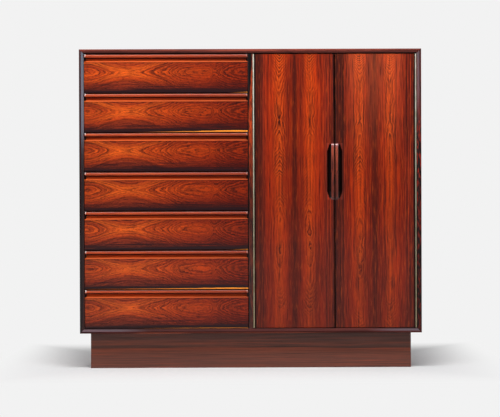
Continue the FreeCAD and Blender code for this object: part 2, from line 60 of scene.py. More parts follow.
def screenColour(red, green, blue):
    # a 0-255 screen colour as the linear colour that a socket holds
    parts = [part / 255 for part in (red, green, blue)]
    return [p / 12.92 if p <= 0.04045 else ((p + 0.055) / 1.055) ** 2.4 for p in parts] + [1]


def feed(socket, value):
    if isinstance(value, bpy.types.NodeSocket):
        socket.id_data.links.new(value, socket)
    else:
        socket.default_value = value


def addNode(tree, kind, inputs=None, **settings):
    node = tree.nodes.new("ShaderNode" + kind)
    for name, value in settings.items():
        setattr(node, name, value)
    for name, value in (inputs or {}).items():
        feed(node.inputs[name], value)
    return node


def treeOf(*values):
    # the node tree that these sockets belong to
    return next(value.id_data for value in values if isinstance(value, bpy.types.NodeSocket))


def nodeOn(values, kind, **settings):
    # the first output of a new node that takes these values in order
    node = addNode(treeOf(*values), kind, **settings)
    for socket, value in zip(node.inputs, values):
        feed(socket, value)
    return node.outputs[0]


def calc(operation, *values):
    return nodeOn(values, "Math", operation=operation)


def times(first, *others):
    for other in others:
        first = calc("MULTIPLY", first, other)
    return first


def minus(first, second):
    return calc("SUBTRACT", first, second)


def apart(first, second):
    return calc("ABSOLUTE", minus(first, second))


def hyperbola(off):
    # 1 in the middle, then ever straighter to either side
    return calc("SQRT", calc("MULTIPLY_ADD", off, off, 1.0))


def spread(value, low, high, newLow=0.0, newHigh=1.0, smooth=False):
    kind = "SMOOTHSTEP" if smooth else "LINEAR"
    return nodeOn((value, low, high, newLow, newHigh), "MapRange", interpolation_type=kind)


def joinXyz(x, y, z):
    return nodeOn((x, y, z), "CombineXYZ")


def noise(vector, scale=1.0, detail=2.0, roughness=0.5):
    inputs = {"Vector": vector, "Scale": scale, "Detail": detail, "Roughness": roughness}
    return addNode(vector.id_data, "TexNoise", inputs).outputs[0]


def noiseLine(along, scale=1.0, detail=2.0):
    # noise along one number
    inputs = {"W": along, "Scale": scale, "Detail": detail}
    return addNode(along.id_data, "TexNoise", inputs, noise_dimensions="1D").outputs[0]


def ramp(factor, stops):
    # stops are (place, colour) pairs, with a 0-255 screen colour or a plain number
    node = addNode(factor.id_data, "ValToRGB", {"Fac": factor})
    points = node.color_ramp.elements
    while len(points) < len(stops):
        points.new(0.5)
    for point, (place, colour) in zip(points, stops):
        point.position = place
        point.color = screenColour(*colour) if isinstance(colour, tuple) else (colour, colour, colour, 1)
    return node.outputs[0]


def mixColour(factor, first, second, mode="MIX"):
    tree = treeOf(factor, first, second)
    node = addNode(tree, "Mix", data_type="RGBA", blend_type=mode, clamp_factor=True)
    sockets = [s for s in node.inputs if s.enabled and s.type in ("VALUE", "RGBA")]
    for socket, value in zip(sockets, (factor, first, second)):
        feed(socket, value)
    return next(s for s in node.outputs if s.enabled)


def mixNumber(factor, first, second):
    return calc("MULTIPLY_ADD", factor, minus(second, first), first)


def curveOf(factor, points):
    node = addNode(factor.id_data, "FloatCurve", {"Value": factor})
    line = node.mapping.curves[0]
    for place, height in points[1:-1]:
        line.points.new(place, height)
    for point, (place, height) in ((line.points[0], points[0]), (line.points[-1], points[-1])):
        point.location = (place, height)
    node.mapping.update()
    return node.outputs[0]


def newMaterial(name, roughness, coat=0.0, metallic=0.0, specular=0.5):
    material = bpy.data.materials.new(name)
    material.use_nodes = True
    shader = material.node_tree.nodes["Principled BSDF"]
    shader.inputs["Roughness"].default_value = roughness
    shader.inputs["Coat Weight"].default_value = coat
    shader.inputs["Coat Roughness"].default_value = 0.12
    shader.inputs["Metallic"].default_value = metallic
    shader.inputs["Specular IOR Level"].default_value = specular
    return material, shader


def placeIn(shader, x=0.0, y=0.0, z=0.0):
    # object coordinates measured from a point, as three sockets
    tree = shader.id_data
    where = addNode(tree, "TexCoord").outputs["Object"]
    moved = addNode(tree, "Mapping", {"Vector": where, "Location": (-x, -y, -z)}).outputs[0]
    parts = addNode(tree, "SeparateXYZ", {"Vector": moved}).outputs
    return parts[0], parts[1], parts[2]


def bumpFrom(shader, height, strength, distance):
    bump = addNode(height.id_data, "Bump", {"Height": height, "Strength": strength, "Distance": distance})
    feed(shader.inputs["Normal"], bump.outputs[0])


def paint(material, *names):
    for name in names:
        cadNodes[name].material_slots[0].material = material


def aimAt(item, target):
    away = item.location - Vector(target)
    item.rotation_euler = away.to_track_quat("Z", "Y").to_euler()


# camera at the front, fitted to the outline of the case and the plinth
cameraLook = {
    "place": (-0.0202, -4.4, 0.6074),
    "pitchDeg": -0.30,
    "yawDeg": -0.2465,
    "rollDeg": -0.193,
    "focalPixels": 1146.2,
    "imageWidth": 500,
    "sensorMm": 36.0,
}


def setCamera(look):
    data = bpy.data.cameras.new("photoCamera")
    data.sensor_width = look["sensorMm"]
    data.lens = look["focalPixels"] * look["sensorMm"] / look["imageWidth"]
    camera = bpy.data.objects.new("photoCamera", data)
    bpy.context.scene.collection.objects.link(camera)
    pitch, yaw, roll = (math.radians(look[part]) for part in ("pitchDeg", "yawDeg", "rollDeg"))
    turn = (
        Matrix.Rotation(yaw, 4, "Z")
        @ Matrix.Rotation(math.pi / 2 + pitch, 4, "X")
        @ Matrix.Rotation(roll, 4, "Z")
    )
    camera.matrix_world = Matrix.Translation(look["place"]) @ turn
    bpy.context.scene.camera = camera


setCamera(cameraLook)
print("camera set")


# studio: a pale surround, a large lamp overhead at the front, two weak ones at the front corners
# and two beside the chest that catch the bevels
studio = {
    "paper": 0.888,            # the background and the far floor
    "ambient": 0.17,
    "behindCamera": 0.05,      # what the lacquer reflects from the dim end of the room
    "besideChest": 0.40,
    "behindChest": 0.42,
    "nearFloor": 0.42,         # the floor in front, as the lacquer reflects it
    "floorSize": 40.0,
    "floorTone": (0.82, 0.85),
    "floorReach": (-3.0, 1.5),  # y of its dim end and of its pale end
    "shadowRoom": 0.35,        # how far round the chest the floor takes its shadow
    "white": (1.0, 1.0, 1.0),
    "cool": (0.82, 0.86, 1.0),
    "blue": (0.62, 0.78, 1.0),
    "lamps": (                 # name, place, target, width and height, watts, colour
        ("overheadLamp", (-0.1, -1.65, 2.85), (0.0, -0.2, 1.0), (3.2, 0.8), 92.0, "white"),
        ("leftFrontLamp", (-2.5, -2.6, 1.9), (0.0, -0.2, 0.8), (0.5, 1.0), 13.0, "white"),
        ("rightFrontLamp", (2.5, -2.6, 1.9), (0.0, -0.2, 0.8), (0.5, 1.0), 13.0, "white"),
        ("leftSideLamp", (-3.2, -1.27, 1.75), (0.6, -0.3, 1.0), (0.5, 0.9), 8.0, "cool"),
        ("rightSideLamp", (3.2, -1.23, 1.50), (-0.6, -0.3, 1.0), (0.5, 0.9), 8.0, "blue"),
    ),
}


def surroundLevel(depth, look, nearest):
    # brightness of the surround, from the camera's end of the room (0) to behind the chest (1)
    rays = addNode(depth.id_data, "LightPath").outputs
    steps = ((0, look[nearest]), (0.5, look["besideChest"]), (1, look["behindChest"]))
    graded = curveOf(depth, steps)
    level = calc("MAXIMUM", graded, times(rays["Is Camera Ray"], look["paper"]))
    seen = calc("MAXIMUM", rays["Is Camera Ray"], rays["Is Glossy Ray"])
    return level, calc("MAXIMUM", seen, rays["Is Transmission Ray"])


def makeWorld(look):
    world = bpy.data.worlds.new("paleStudio")
    bpy.context.scene.world = world
    world.use_nodes = True
    tree = world.node_tree
    tree.nodes.clear()
    direction = addNode(tree, "TexCoord").outputs["Generated"]
    forward = addNode(tree, "SeparateXYZ", {"Vector": direction}).outputs[1]
    level, seen = surroundLevel(calc("MULTIPLY_ADD", forward, 0.5, 0.5), look, "behindCamera")
    lit = addNode(tree, "Background", {"Color": (1, 1, 1, 1), "Strength": look["ambient"]})
    shown = addNode(tree, "Background", {"Color": (1, 1, 1, 1), "Strength": level})
    both = addNode(tree, "MixShader", {0: seen, 1: lit.outputs[0], 2: shown.outputs[0]})
    addNode(tree, "OutputWorld", {"Surface": both.outputs[0]})


def makeLamps(look):
    for name, place, target, size, power, colour in look["lamps"]:
        data = bpy.data.lights.new(name, "AREA")
        data.shape = "RECTANGLE"
        data.size, data.size_y = size
        data.energy = power
        data.color = look[colour]
        lamp = bpy.data.objects.new(name, data)
        bpy.context.scene.collection.objects.link(lamp)
        lamp.location = place
        aimAt(lamp, target)


def makeFloor(look):
    bpy.ops.object.select_all(action="DESELECT")
    bpy.ops.mesh.primitive_plane_add(size=look["floorSize"])
    floor = bpy.context.object
    floor.name = "studioFloor"
    material, shader = newMaterial("paleFloor", 0.9, specular=0.1)
    tree = material.node_tree
    x, y, z = placeIn(shader)
    outX = minus(calc("ABSOLUTE", x), cadBox[1][0])
    outY = minus(calc("ABSOLUTE", y), cadBox[1][1])
    far = spread(calc("MAXIMUM", outX, outY), 0.0, look["shadowRoom"], smooth=True)
    grain = noise(joinXyz(x, y, z), 60.0, 3.0)
    tone = spread(grain, 0.3, 0.7, *look["floorTone"])
    feed(shader.inputs["Base Color"], joinXyz(tone, tone, tone))
    level, seen = surroundLevel(spread(y, *look["floorReach"]), look, "nearFloor")
    paper = addNode(tree, "Emission", {"Color": (1, 1, 1, 1), "Strength": level})
    blend = times(far, seen)
    both = addNode(tree, "MixShader", {0: blend, 1: shader.outputs[0], 2: paper.outputs[0]})
    feed(tree.nodes["Material Output"].inputs["Surface"], both.outputs[0])
    floor.data.materials.append(material)


bpy.context.scene.view_settings.view_transform = "Standard"
makeWorld(studio)
makeLamps(studio)
makeFloor(studio)
print("studio lit")


def grainNoise(x, y, z, sizes, detail=2.0, roughness=0.5):
    # noise that is longer in one direction: each coordinate has its own multiplier
    place = joinXyz(x, y, z)
    return noise(nodeOn((place, sizes), "VectorMath", operation="MULTIPLY"), 1.0, detail, roughness)


def shiftBy(value, pattern, amount):
    # moves a number to and fro by a noise pattern
    return calc("MULTIPLY_ADD", minus(pattern, 0.5), amount, value)


# mixes a colour in: a tint of the material itself, or painted light or shade where a caller says so
def tintOrShade(shade, amount, colour):
    return mixColour(amount, shade, screenColour(*colour))


def wash(shade, pattern, low, high, most, colour):
    # a tint or painted shade that grows from nothing to its most as the pattern goes from low to high
    return tintOrShade(shade, spread(pattern, low, high, 0.0, most), colour)


def growthLines(ring, faint, strong, start=0.68):
    # thin dark late-wood lines where the ring number passes a whole number, some strong and some faint
    tooth = calc("FRACT", ring)
    stops = ((0.0, 0.0), (start - 0.26, 0.04), (start, 0.35), (start + 0.12, 1.0), (0.94, 0.9), (1.0, 0.0))
    line = ramp(tooth, stops)
    weight = noiseLine(calc("FLOOR", ring), 1.37, 0.0)
    return times(line, spread(weight, 0.32, 0.68, faint, strong))


def lacquer(shader, shade, fibre):
    feed(shader.inputs["Base Color"], shade)
    feed(shader.inputs["Roughness"], spread(fibre, 0.3, 0.7, 0.3, 0.42))
    bumpFrom(shader, fibre, 0.05, 0.0004)


# drawer fronts: one flitch of figured veneer, cut in sequence from drawer to drawer
drawerFigure = {
    "centre": 0.075,           # height of the figure's middle line above the board's lower edge
    "waist": (                 # how round the rings turn, along that line
        (0.0, 0.013), (0.25, 0.007), (0.65, 0.008), (0.82, 0.012),
    ),
    "slope": 114.0,            # rings for each metre above and below that line
    "rings": (                 # ring number along that line, from the left: eye, waist, eye, waist, eye
        (0.0, 3.4), (0.02, 3.5), (0.07, 3.0), (0.12, 2.0), (0.19, 1.0), (0.262, 0.45), (0.338, 1.0),
        (0.396, 2.0), (0.447, 3.0), (0.50, 4.0), (0.53, 5.0), (0.56, 6.0), (0.60, 7.0), (0.66, 7.7),
        (0.72, 8.0), (0.77, 7.6), (0.797, 5.6), (0.822, 6.2), (0.85, 7.1), (0.89, 8.1), (0.95, 9.0),
        (1.0, 9.3),
    ),
    "ringScale": 10.0,
    "clear": (                 # how clearly the rings show, along the board
        (0.0, 0.7), (0.10, 0.85), (0.15, 0.7), (0.20, 0.35), (0.28, 0.4), (0.36, 0.7), (0.42, 0.85),
        (0.56, 0.8), (0.65, 0.5), (0.70, 0.2), (0.79, 0.15), (0.82, 0.95), (0.92, 0.9), (1.0, 0.8),
    ),
    "tones": (                 # up the board
        (0.0, (44, 20, 22)), (0.06, (74, 29, 24)), (0.13, (118, 40, 25)), (0.30, (162, 53, 23)),
        (0.48, (184, 61, 21)), (0.68, (212, 77, 22)), (0.86, (176, 58, 21)), (1.0, (132, 41, 20)),
    ),
    "lift": (0.06, -0.03),     # how far these tones move down at the left end and up at the right end
    "glow": (232, 98, 28),
    "rightGlow": (206, 62, 16),
    "hill": (104, 38, 27),     # under the waist, where the figure turns brown
    "hillRing": (-1.35, -1.75),
    "hillDrop": 0.012,         # height over which it comes in
    "rightTone": (90, 15, 6),
    "leftTone": (92, 44, 30),
    "leftDim": (0.0, 0.04, 0.08, 0.14, 0.14, 0.18, 0.28),    # how much of it, from drawer to drawer
    "line": (38, 14, 12),
    "lowBand": (36, 19, 22),
    "seam": (56, 20, 15),
    "shift": (0.0, 0.004, -0.005, 0.003, -0.003, 0.005, -0.002),
    "sapwood": ((0.2, (204, 102, 44)), (0.75, (250, 150, 50))),
    "sapwoodStrips": {         # board: where along it the strip starts and is full, and its full width
        1: (0.88, 1.0, 0.0030), 2: (0.25, 0.95, 0.0066), 5: (0.88, 1.0, 0.0030), 6: (-0.25, 0.9, 0.0052),
        7: (0.22, 0.6, 0.0022),
    },
    "sapwoodBlur": 0.0012,
    "duskTop": (0.013, 0.018),  # height of the dark lower edge at the left and at the right
    "seamUp": (0.980, 0.992),
    "roughness": 0.34,
    "coat": 0.45,
}


def drawerVeneer(number, look):
    low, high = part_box(f"drawer_{number}_front")
    name = f"drawerVeneer{number}"
    material, shader = newMaterial(name, look["roughness"], coat=look["coat"], specular=0.1)
    u, _, v = placeIn(shader, low[0] + look["shift"][number - 1], 0, low[2])
    share = calc("DIVIDE", u, high[0] - low[0])
    up = calc("DIVIDE", v, high[2] - low[2])
    # ring number: a curve along the board, falling off above and below the middle line
    along = curveOf(share, [(place, ring / look["ringScale"]) for place, ring in look["rings"]])
    waist = ramp(share, look["waist"])
    off = calc("DIVIDE", minus(v, look["centre"]), waist)
    bowl = times(minus(hyperbola(off), 1.0), waist)
    ring = calc("MULTIPLY_ADD", along, look["ringScale"], times(bowl, -look["slope"]))
    wander = grainNoise(u, number * 0.35, v, (10.0, 1.0, 40.0))
    ripple = grainNoise(u, number * 0.8, v, (75.0, 1.0, 200.0))
    ring = shiftBy(ring, wander, spread(share, 0.35, 0.65, 1.0, 1.8))
    ring = shiftBy(ring, ripple, spread(share, 0.30, 0.60, 0.45, 1.1))
    ring = calc("MULTIPLY_ADD", noiseLine(ring, 0.8, 1.0), 0.9, ring)
    # colour up the board, bright at the waist and darker to the right
    smoke = grainNoise(u, number * 1.3, v, (7.0, 1.0, 170.0), 4.0, 0.6)
    lift = calc("ADD", up, spread(share, 0.0, 0.7, *look["lift"]))
    shade = ramp(shiftBy(lift, smoke, 0.34), look["tones"])
    warm = spread(apart(ring, 0.6), 0.2, 1.6, 0.75, 0.0)
    warm = times(warm, spread(share, 0.62, 0.3), spread(up, 0.28, 0.6))
    shade = tintOrShade(shade, warm, look["glow"])
    below = spread(v, look["centre"], look["centre"] - look["hillDrop"])
    below = times(below, spread(share, 0.62, 0.38))
    hill = times(spread(ring, *look["hillRing"], 0.0, 0.5), below)
    shade = tintOrShade(shade, hill, look["hill"])
    crest = spread(apart(ring, look["hillRing"][1]), 0.3, 0.1, 0.0, 0.6)
    shade = tintOrShade(shade, times(crest, below), look["line"])
    shade = wash(shade, share, 0.35, 0.95, 0.86, look["rightTone"])
    shade = wash(shade, share, 0.55, 0.15, look["leftDim"][number - 1], look["leftTone"])
    # streaks and rings that follow the figure
    fibre = grainNoise(u, ring, number * 0.7, (20.0, 2.8, 1.0), 4.0, 0.7)
    shade = wash(shade, fibre, 0.46, 0.68, 0.8, look["line"])
    glow = ramp(share, ((0.35, look["glow"]), (0.85, look["rightGlow"])))
    shade = mixColour(spread(fibre, 0.42, 0.28, 0.0, 0.3), shade, glow)
    clear = curveOf(share, look["clear"])
    shade = tintOrShade(shade, times(growthLines(ring, 0.25, 0.85, 0.75), clear), look["line"])
    thin = growthLines(times(ring, 2.3), 0.2, 0.8)
    shade = tintOrShade(shade, times(thin, clear), look["line"])
    early = ramp(calc("FRACT", ring), ((0.0, 0.2), (0.15, 0.28), (0.4, 0.0)))
    early = times(early, spread(up, 0.2, 0.5))
    shade = mixColour(early, shade, glow)
    pores = grainNoise(u, ring, v, (110.0, 3.0, 210.0), 1.0)
    shade = wash(shade, pores, 0.54, 0.70, 0.5, look["line"])
    smear = grainNoise(u, number * 2.1, v, (5.0, 1.0, 300.0), 3.0, 0.6)
    smear = times(spread(smear, 0.50, 0.58), spread(up, 0.40, 0.18, 0.0, 0.85))
    shade = tintOrShade(shade, smear, look["lowBand"])
    # dark lower edge, with a strip of sapwood on some boards, and the seam under the pull
    top = spread(share, 0.0, 0.7, *look["duskTop"])
    rough = shiftBy(v, smoke, 0.02)
    shade = wash(shade, rough, top, times(top, 0.5), 0.9, look["lowBand"])
    if number in look["sapwoodStrips"]:
        start, full, width = look["sapwoodStrips"][number]
        edge = times(spread(share, start, full), width)
        edge = times(edge, spread(noiseLine(u, 9.0), 0.3, 0.7, 0.8, 1.2))
        sap = spread(minus(edge, v), 0.0, look["sapwoodBlur"])
        shade = mixColour(sap, shade, ramp(share, look["sapwood"]))
    shade = wash(shade, up, *look["seamUp"], 0.85, look["seam"])
    lacquer(shader, shade, fibre)
    return material


for number in range(1, drawerCount + 1):
    paint(drawerVeneer(number, drawerFigure), f"drawer_{number}_front")
print("drawer fronts veneered")


# doors: two leaves of veneer each, matched like an open book along the middle of the door
doorFigure = {
    "heart": 0.055,            # from the middle of the door to the middle of a leaf's figure
    "waist": (0.0085, 0.0036),  # how soon the arms of a chevron turn straight, low and high on the door
    "slope": 118.0,            # rings for each metre along those arms
    "climb": (                 # up the door: where it rises, the chevrons point down
        (0.0, 0.10), (0.33, 0.43), (0.775, 0.0), (1.0, 0.225),
    ),
    "pitch": 0.025,
    "bands": (                 # from the middle of the door to its edge
        (0.0, (84, 21, 10)), (0.035, (100, 26, 10)), (0.08, (132, 34, 9)), (0.16, (148, 38, 9)),
        (0.26, (182, 51, 10)), (0.38, (214, 71, 13)), (0.52, (186, 52, 10)), (0.66, (162, 42, 10)),
        (0.77, (150, 42, 18)), (0.805, (90, 28, 19)), (0.835, (166, 50, 20)), (0.862, (160, 46, 20)),
        (0.880, (58, 20, 16)), (0.898, (164, 48, 22)), (0.918, (156, 45, 20)), (0.932, (50, 17, 14)),
        # the last stops, near black, are painted shade for the gaps along the door's edges
        (0.946, (146, 43, 22)), (0.962, (106, 31, 19)), (0.975, (50, 16, 13)), (0.986, (12, 5, 5)),
        (1.0, (8, 3, 3)),
    ),
    "line": (36, 13, 12),
    "bright": (238, 98, 28),
    "lowTone": (70, 23, 16),
    "paintedHaze": (206, 100, 66),
    "paintedHazeAmount": {"left": 0.0, "right": 0.20},    # how much painted haze, a pale reflection, at the top of each door
    "darkEdge": (52, 20, 15),
    "darkWidth": {"left": 0.024, "right": 0.031},  # along the left edge of each door
    "darkBlur": (0.003, -0.004),
    "darkRim": (0.0022, 0.001),
    "straightEdge": (0.045, 0.008),    # from the edge, between which the bands stop swaying
    "seed": {"left": 0.0, "right": 7.3},
    "roughness": 0.34,
    "coat": 0.42,
}


def doorVeneer(side, look):
    low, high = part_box(f"{side}_door")
    half = (high[0] - low[0]) / 2
    seed = look["seed"][side]
    name = f"{side}DoorVeneer"
    material, shader = newMaterial(name, look["roughness"], coat=look["coat"], specular=0.1)
    x, _, z = placeIn(shader, low[0] + half, 0, low[2])
    leaf = calc("ABSOLUTE", x)
    height = calc("ADD", z, seed)
    inner = spread(leaf, *(half - width for width in look["straightEdge"]), 1.0, 0.0)
    sway = times(minus(noiseLine(height, 4.0), 0.5), 0.010)
    ripple = grainNoise(leaf, seed, z, (90.0, 1.0, 9.0), 3.0)
    sway = shiftBy(sway, ripple, 0.010)
    leaf = calc("MULTIPLY_ADD", sway, inner, leaf)
    shade = ramp(calc("DIVIDE", leaf, half), look["bands"])
    # broad dark clouds, then long fine streaks
    cloud = grainNoise(x, seed, z, (22.0, 1.0, 2.5))
    shade = wash(shade, cloud, 0.46, 0.74, 0.55, look["lowTone"])
    streak = grainNoise(leaf, seed, z, (150.0, 1.0, 2.2), 4.0, 0.65)
    calm = spread(z, 0.1, 0.6, 0.55, 1.0)
    dark = times(spread(streak, 0.47, 0.67, 0.0, 0.85), calm)
    shade = tintOrShade(shade, dark, look["line"])
    light = times(spread(streak, 0.40, 0.28, 0.0, 0.4), calm)
    shade = tintOrShade(shade, light, look["bright"])
    # chevrons about the heart of each leaf
    waist = spread(z, 0.15, 0.75, *look["waist"])
    aside = minus(leaf, look["heart"])
    off = calc("DIVIDE", aside, waist)
    bowl = times(hyperbola(off), waist)
    climb = curveOf(spread(z, 0.0, high[2] - low[2]), look["climb"])
    climb = shiftBy(climb, noiseLine(height, 11.0), 0.075)
    rise = calc("DIVIDE", climb, look["pitch"])
    ring = calc("MULTIPLY_ADD", bowl, look["slope"], times(rise, -1.0))
    frayed = grainNoise(x, seed, z, (120.0, 1.0, 40.0))
    ring = shiftBy(ring, frayed, spread(z, 0.2, 0.8, 1.5, 1.0))
    near = spread(calc("ABSOLUTE", aside), 0.003, 0.032, 1.0, 0.0, smooth=True)
    patchy = grainNoise(x, seed, z, (9.0, 1.0, 8.0), 1.0)
    least = spread(z, 0.60, 0.74, 0.12, 0.4)
    near = times(near, spread(patchy, 0.42, 0.56, least, 1.0), spread(z, 0.1, 0.7, 0.7, 1.0))
    early = ramp(calc("FRACT", ring), ((0.0, 0.55), (0.3, 0.35), (0.5, 0.0)))
    shade = tintOrShade(shade, times(early, near), look["bright"])
    shade = tintOrShade(shade, times(growthLines(ring, 0.35, 1.0, 0.58), near), look["line"])
    thin = growthLines(times(ring, 2.3), 0.1, 0.5)
    shade = tintOrShade(shade, times(thin, near), look["line"])
    # darker towards the bottom of the door: partly the wood's own tone, partly painted shade for light
    # falling off downwards
    shade = wash(shade, z, 0.85, 0.0, 0.56, look["lowTone"])
    # painted reflection: a pale haze at the top of the right door, away from its edges
    pale = spread(z, 0.60, 0.95, 0.0, look["paintedHazeAmount"][side])
    pale = times(pale, spread(calc("DIVIDE", leaf, half), 0.78, 0.62))
    shade = tintOrShade(shade, pale, look["paintedHaze"])
    fromLeft = calc("MULTIPLY_ADD", sway, 0.4, calc("ADD", x, half))
    width = look["darkWidth"][side]
    edge = spread(fromLeft, *(width + blur for blur in look["darkBlur"]), 0.0, 0.72)
    rim = spread(apart(fromLeft, width), *look["darkRim"], 0.0, 0.85)
    edge = times(calc("MAXIMUM", edge, rim), spread(z, 0.1, 0.65, 0.35, 1.0))
    shade = tintOrShade(shade, edge, look["darkEdge"])
    fibre = grainNoise(leaf, seed, z, (420.0, 1.0, 9.0), 3.0, 0.62)
    shade = wash(shade, fibre, 0.50, 0.68, 0.8, look["line"])
    dashes = grainNoise(x, seed, z, (290.0, 1.0, 20.0), 3.0)
    shade = wash(shade, dashes, 0.54, 0.72, 0.4, look["line"])
    shade = wash(shade, dashes, 0.44, 0.28, 0.2, look["bright"])
    lacquer(shader, shade, fibre)
    return material


for side in ("left", "right"):
    paint(doorVeneer(side, doorFigure), f"{side}_door")
print("doors veneered")


# straight-grained wood: tones from dark to light along the streaks, with the grain along one axis
straightWoods = {
    "caseTop": {
        "grain": "x", "tones": ((0.0, (58, 26, 22)), (0.5, (112, 52, 44)), (1.0, (156, 72, 56))),
        "streaks": 60.0, "length": 1.2, "roughness": 0.36, "coat": 0.07,
    },
    "caseBottom": {
        "grain": "x", "tones": ((0.0, (28, 10, 10)), (0.5, (62, 23, 20)), (1.0, (98, 37, 31))),
        "streaks": 60.0, "length": 1.2, "roughness": 0.45, "coat": 0.03,
    },
    "caseUpright": {           # left side and divider
        "grain": "z", "tones": ((0.0, (16, 7, 8)), (0.5, (36, 13, 14)), (1.0, (84, 26, 20))),
        "streaks": 90.0, "length": 1.2, "roughness": 0.3, "coat": 0.8,
    },
    "caseRight": {
        "grain": "z", "tones": ((0.0, (30, 11, 12)), (0.5, (64, 22, 20)), (1.0, (118, 38, 28))),
        "streaks": 90.0, "length": 2.4, "roughness": 0.36, "coat": 0.42,
    },
    "plinthWood": {
        "grain": "x", "tones": ((0.0, (60, 38, 32)), (0.5, (112, 61, 48)), (1.0, (150, 78, 57))),
        "streaks": 45.0, "length": 0.9, "roughness": 0.45, "coat": 0.15,
    },
    "shelfWood": {
        "grain": "x", "tones": ((0.0, (70, 30, 24)), (0.5, (124, 52, 34)), (1.0, (168, 78, 46))),
        "streaks": 60.0, "length": 1.2, "roughness": 0.4, "coat": 0.3,
    },
    "backBoard": {
        "grain": "z", "tones": ((0.0, (92, 56, 36)), (0.5, (126, 82, 52)), (1.0, (150, 102, 68))),
        "streaks": 40.0, "length": 1.0, "roughness": 0.6, "coat": 0.0,
    },
    "liningAcross": {
        "grain": "x", "tones": ((0.0, (160, 116, 74)), (0.5, (190, 146, 98)), (1.0, (212, 172, 122))),
        "streaks": 90.0, "length": 2.0, "roughness": 0.5, "coat": 0.05,
    },
    "pullWood": {
        "grain": "x", "tones": ((0.0, (172, 60, 28)), (0.45, (208, 82, 36)), (1.0, (232, 104, 48))),
        "streaks": 150.0, "length": 2.2, "roughness": 0.3, "coat": 0.3,
    },
    "doorPullWood": {
        "grain": "z", "tones": ((0.0, (46, 18, 15)), (0.45, (100, 40, 29)), (1.0, (164, 68, 44))),
        "streaks": 280.0, "length": 4.0, "roughness": 0.3, "coat": 1.0,
    },
}
straightWoods["liningAlong"] = {**straightWoods["liningAcross"], "grain": "y"}


def straightWood(name, kind=None):
    look = straightWoods[kind or name]
    material, shader = newMaterial(name, look["roughness"], coat=look["coat"], specular=0.2)
    x, y, z = placeIn(shader)
    along = {"x": x, "y": y, "z": z}[look["grain"]]
    across = [part for axis, part in zip("xyz", (x, y, z)) if axis != look["grain"]]
    sway = noise(joinXyz(times(along, look["length"] * 2), *across))
    wide = [times(shiftBy(part, sway, 0.05), look["streaks"]) for part in across]
    streak = noise(joinXyz(times(along, look["length"]), *wide), 1.0, 4.0, 0.62)
    tone = ramp(spread(streak, 0.28, 0.72), look["tones"])
    thin = [times(part, 900.0) for part in across]
    fibre = noise(joinXyz(times(along, 30.0), *thin))
    shade = wash(tone, fibre, 0.52, 0.75, 0.5, look["tones"][0][1])
    feed(shader.inputs["Base Color"], shade)
    bumpFrom(shader, fibre, 0.06, 0.0003)
    return material, shader, shade, (x, y, z)


def plainWood(name):
    return straightWood(name)[0]


# case panels: flat-sawn veneer behind solid dark lippings at the front
caseVeneer = {
    "lipping": (-0.2224, -0.2206),         # y between which the lipping gives way to the veneer
    "heart": 0.03,
    "waist": 0.035,
    "fall": 4.0,
    "pitch": 0.11,
    "tones": ((0.25, (68, 24, 8)), (0.45, (124, 46, 10)), (0.60, (160, 66, 14)), (0.8, (124, 46, 10))),
    "line": (40, 15, 13),
    "revealShadow": (8, 4, 4),                   # painted shadow: the dark line along the top of the drawers and doors
    "revealShadowHeight": (1.1532, 1.1524),
    "revealShadowDepth": (-0.2150, -0.2170),
    "arris": (14, 4, 5),
    "arrisWidth": (0.6195, 0.6207),        # x between which the outer arris of a side turns dark
    "arrisTop": (0.95, 0.70),
    "flecks": (146, 36, 22),               # wavy red figure low on the front edge of the right side
    "fleckTop": (0.95, 0.86),
    "fleckFade": (0.72, 0.50),             # z between which it sinks into the dark wood
    "specular": 0.1,
}


def casePanel(name, seed, look):
    material, shader, edge, (x, y, z) = straightWood(name)
    shader.inputs["Specular IOR Level"].default_value = look["specular"]
    run = x if straightWoods[name]["grain"] == "x" else z
    off = calc("DIVIDE", minus(y, look["heart"]), look["waist"])
    ring = calc("MULTIPLY_ADD", hyperbola(off), look["fall"], calc("DIVIDE", run, -look["pitch"]))
    wander = grainNoise(run, y, seed, (4.0, 16.0, 1.0), 3.0)
    ripple = grainNoise(run, y, seed, (40.0, 150.0, 1.0))
    ring = shiftBy(shiftBy(ring, wander, 4.5), ripple, 0.5)
    fibre = grainNoise(run, ring, seed, (10.0, 2.2, 1.0), 4.0, 0.65)
    shade = ramp(fibre, look["tones"])
    shade = tintOrShade(shade, growthLines(ring, 0.2, 0.9), look["line"])
    pores = grainNoise(run, y, seed, (70.0, 900.0, 1.0), 1.0)
    shade = wash(shade, pores, 0.55, 0.72, 0.6, look["line"])
    if name == "caseRight":
        wave = grainNoise(x, y, z, (300.0, 80.0, 48.0), 3.0)
        fleck = ramp(wave, ((0.42, look["arris"]), (0.52, look["line"]), (0.60, look["flecks"])))
        fleck = wash(fleck, z, *look["fleckFade"], 0.55, look["arris"])
        edge = mixColour(spread(z, *look["fleckTop"]), edge, fleck)
    shade = mixColour(spread(y, *look["lipping"]), edge, shade)
    if name == "caseTop":
        # painted shadow under the front edge of the top, above the drawers and doors
        revealShade = times(spread(z, *look["revealShadowHeight"]), spread(y, *look["revealShadowDepth"]))
        shade = tintOrShade(shade, revealShade, look["revealShadow"])
    else:
        outer = spread(calc("ABSOLUTE", x), *look["arrisWidth"], 0.0, 0.8)
        outer = times(outer, spread(y, *look["lipping"], 1.0, 0.0), spread(z, *look["arrisTop"]))
        shade = tintOrShade(shade, outer, look["arris"])
    feed(shader.inputs["Base Color"], shade)
    return material


